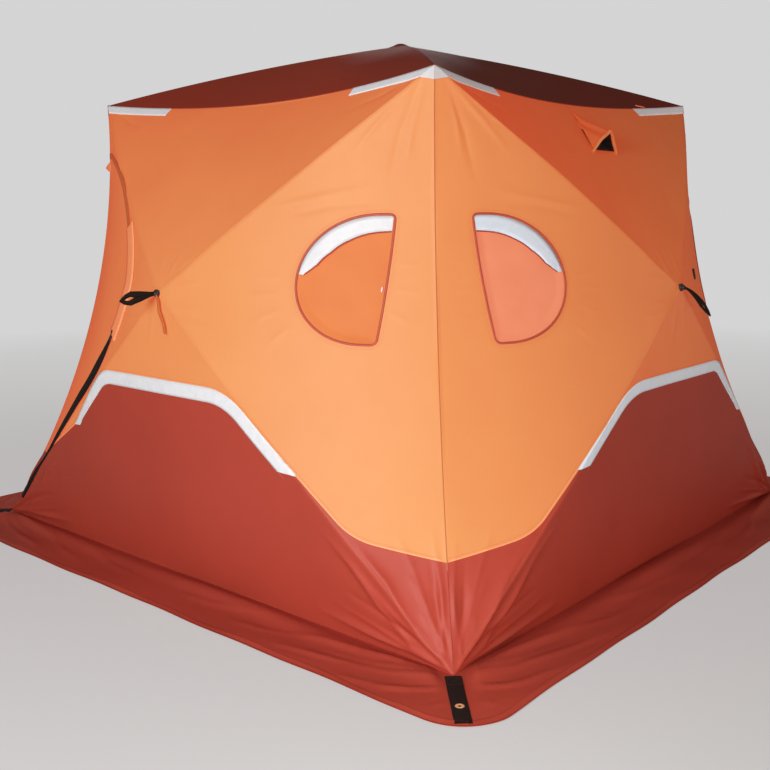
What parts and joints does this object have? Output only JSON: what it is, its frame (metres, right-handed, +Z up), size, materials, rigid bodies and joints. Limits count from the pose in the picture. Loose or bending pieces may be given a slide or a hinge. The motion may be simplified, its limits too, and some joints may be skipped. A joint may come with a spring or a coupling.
{
  "type": "ice fishing hut",
  "caption": "Pop-up hub ice fishing shelter: fabric gores stretched over bowed poles and hubs, with D-shaped windows, a zipped door, vents, a ground skirt and corner anchors.",
  "frame": {"origin": "centre of the base on the ground", "axes": "+Z up, -Y out of the front wall with the door at its left, +X out of the right wall"},
  "size_m": [3.05, 3.05, 2.059],
  "materials": {
    "wall_fabric": "matt coated polyester, orange",
    "lower_fabric": "matt coated polyester, dark red",
    "roof_fabric": "matt coated polyester, dark red",
    "skirt_fabric": "matt coated polyester, dark red",
    "window_film": "satin translucent film over a fabric blackout flap",
    "zip_tape": "matt black coil zip",
    "webbing": "woven black webbing",
    "fibreglass": "satin dark fibreglass",
    "moulding": "matt black moulding",
    "grommet_brass": "pressed brass"
  },
  "bodies": {
    "root": {"anchor_straps": "webbing", "back_door": "wall_fabric", "back_skirt": "skirt_fabric", "back_wall_band": "lower_fabric", "back_wall_centre": "wall_fabric", "back_wall_left": "wall_fabric", "back_wall_right": "wall_fabric", "back_wall_top": "wall_fabric", "back_windows": "window_film", "door_flaps": "wall_fabric", "door_zips": "zip_tape", "foot_fittings": "moulding", "front_door": "wall_fabric", "front_skirt": "skirt_fabric", "front_wall_band": "lower_fabric", "front_wall_centre": "wall_fabric", "front_wall_left": "wall_fabric", "front_wall_right": "wall_fabric", "front_wall_top": "wall_fabric", "front_windows": "window_film", "grommets": "grommet_brass", "left_skirt": "skirt_fabric", "left_wall_band": "lower_fabric", "left_wall_centre": "wall_fabric", "left_wall_left": "wall_fabric", "left_wall_right": "wall_fabric", "left_wall_top": "wall_fabric", "left_windows": "window_film", "pull_straps": "webbing", "right_skirt": "skirt_fabric", "right_wall_band": "lower_fabric", "right_wall_centre": "wall_fabric", "right_wall_left": "wall_fabric", "right_wall_right": "wall_fabric", "right_wall_top": "wall_fabric", "right_windows": "window_film", "roof_back_gore": "roof_fabric", "roof_front_gore": "roof_fabric", "roof_hub": "moulding", "roof_left_gore": "roof_fabric", "roof_poles": "fibreglass", "roof_right_gore": "roof_fabric", "top_fittings": "moulding", "vent_hoods": "wall_fabric", "wall_hubs": "moulding", "wall_poles": "fibreglass"}
  },
  "joints": []
}
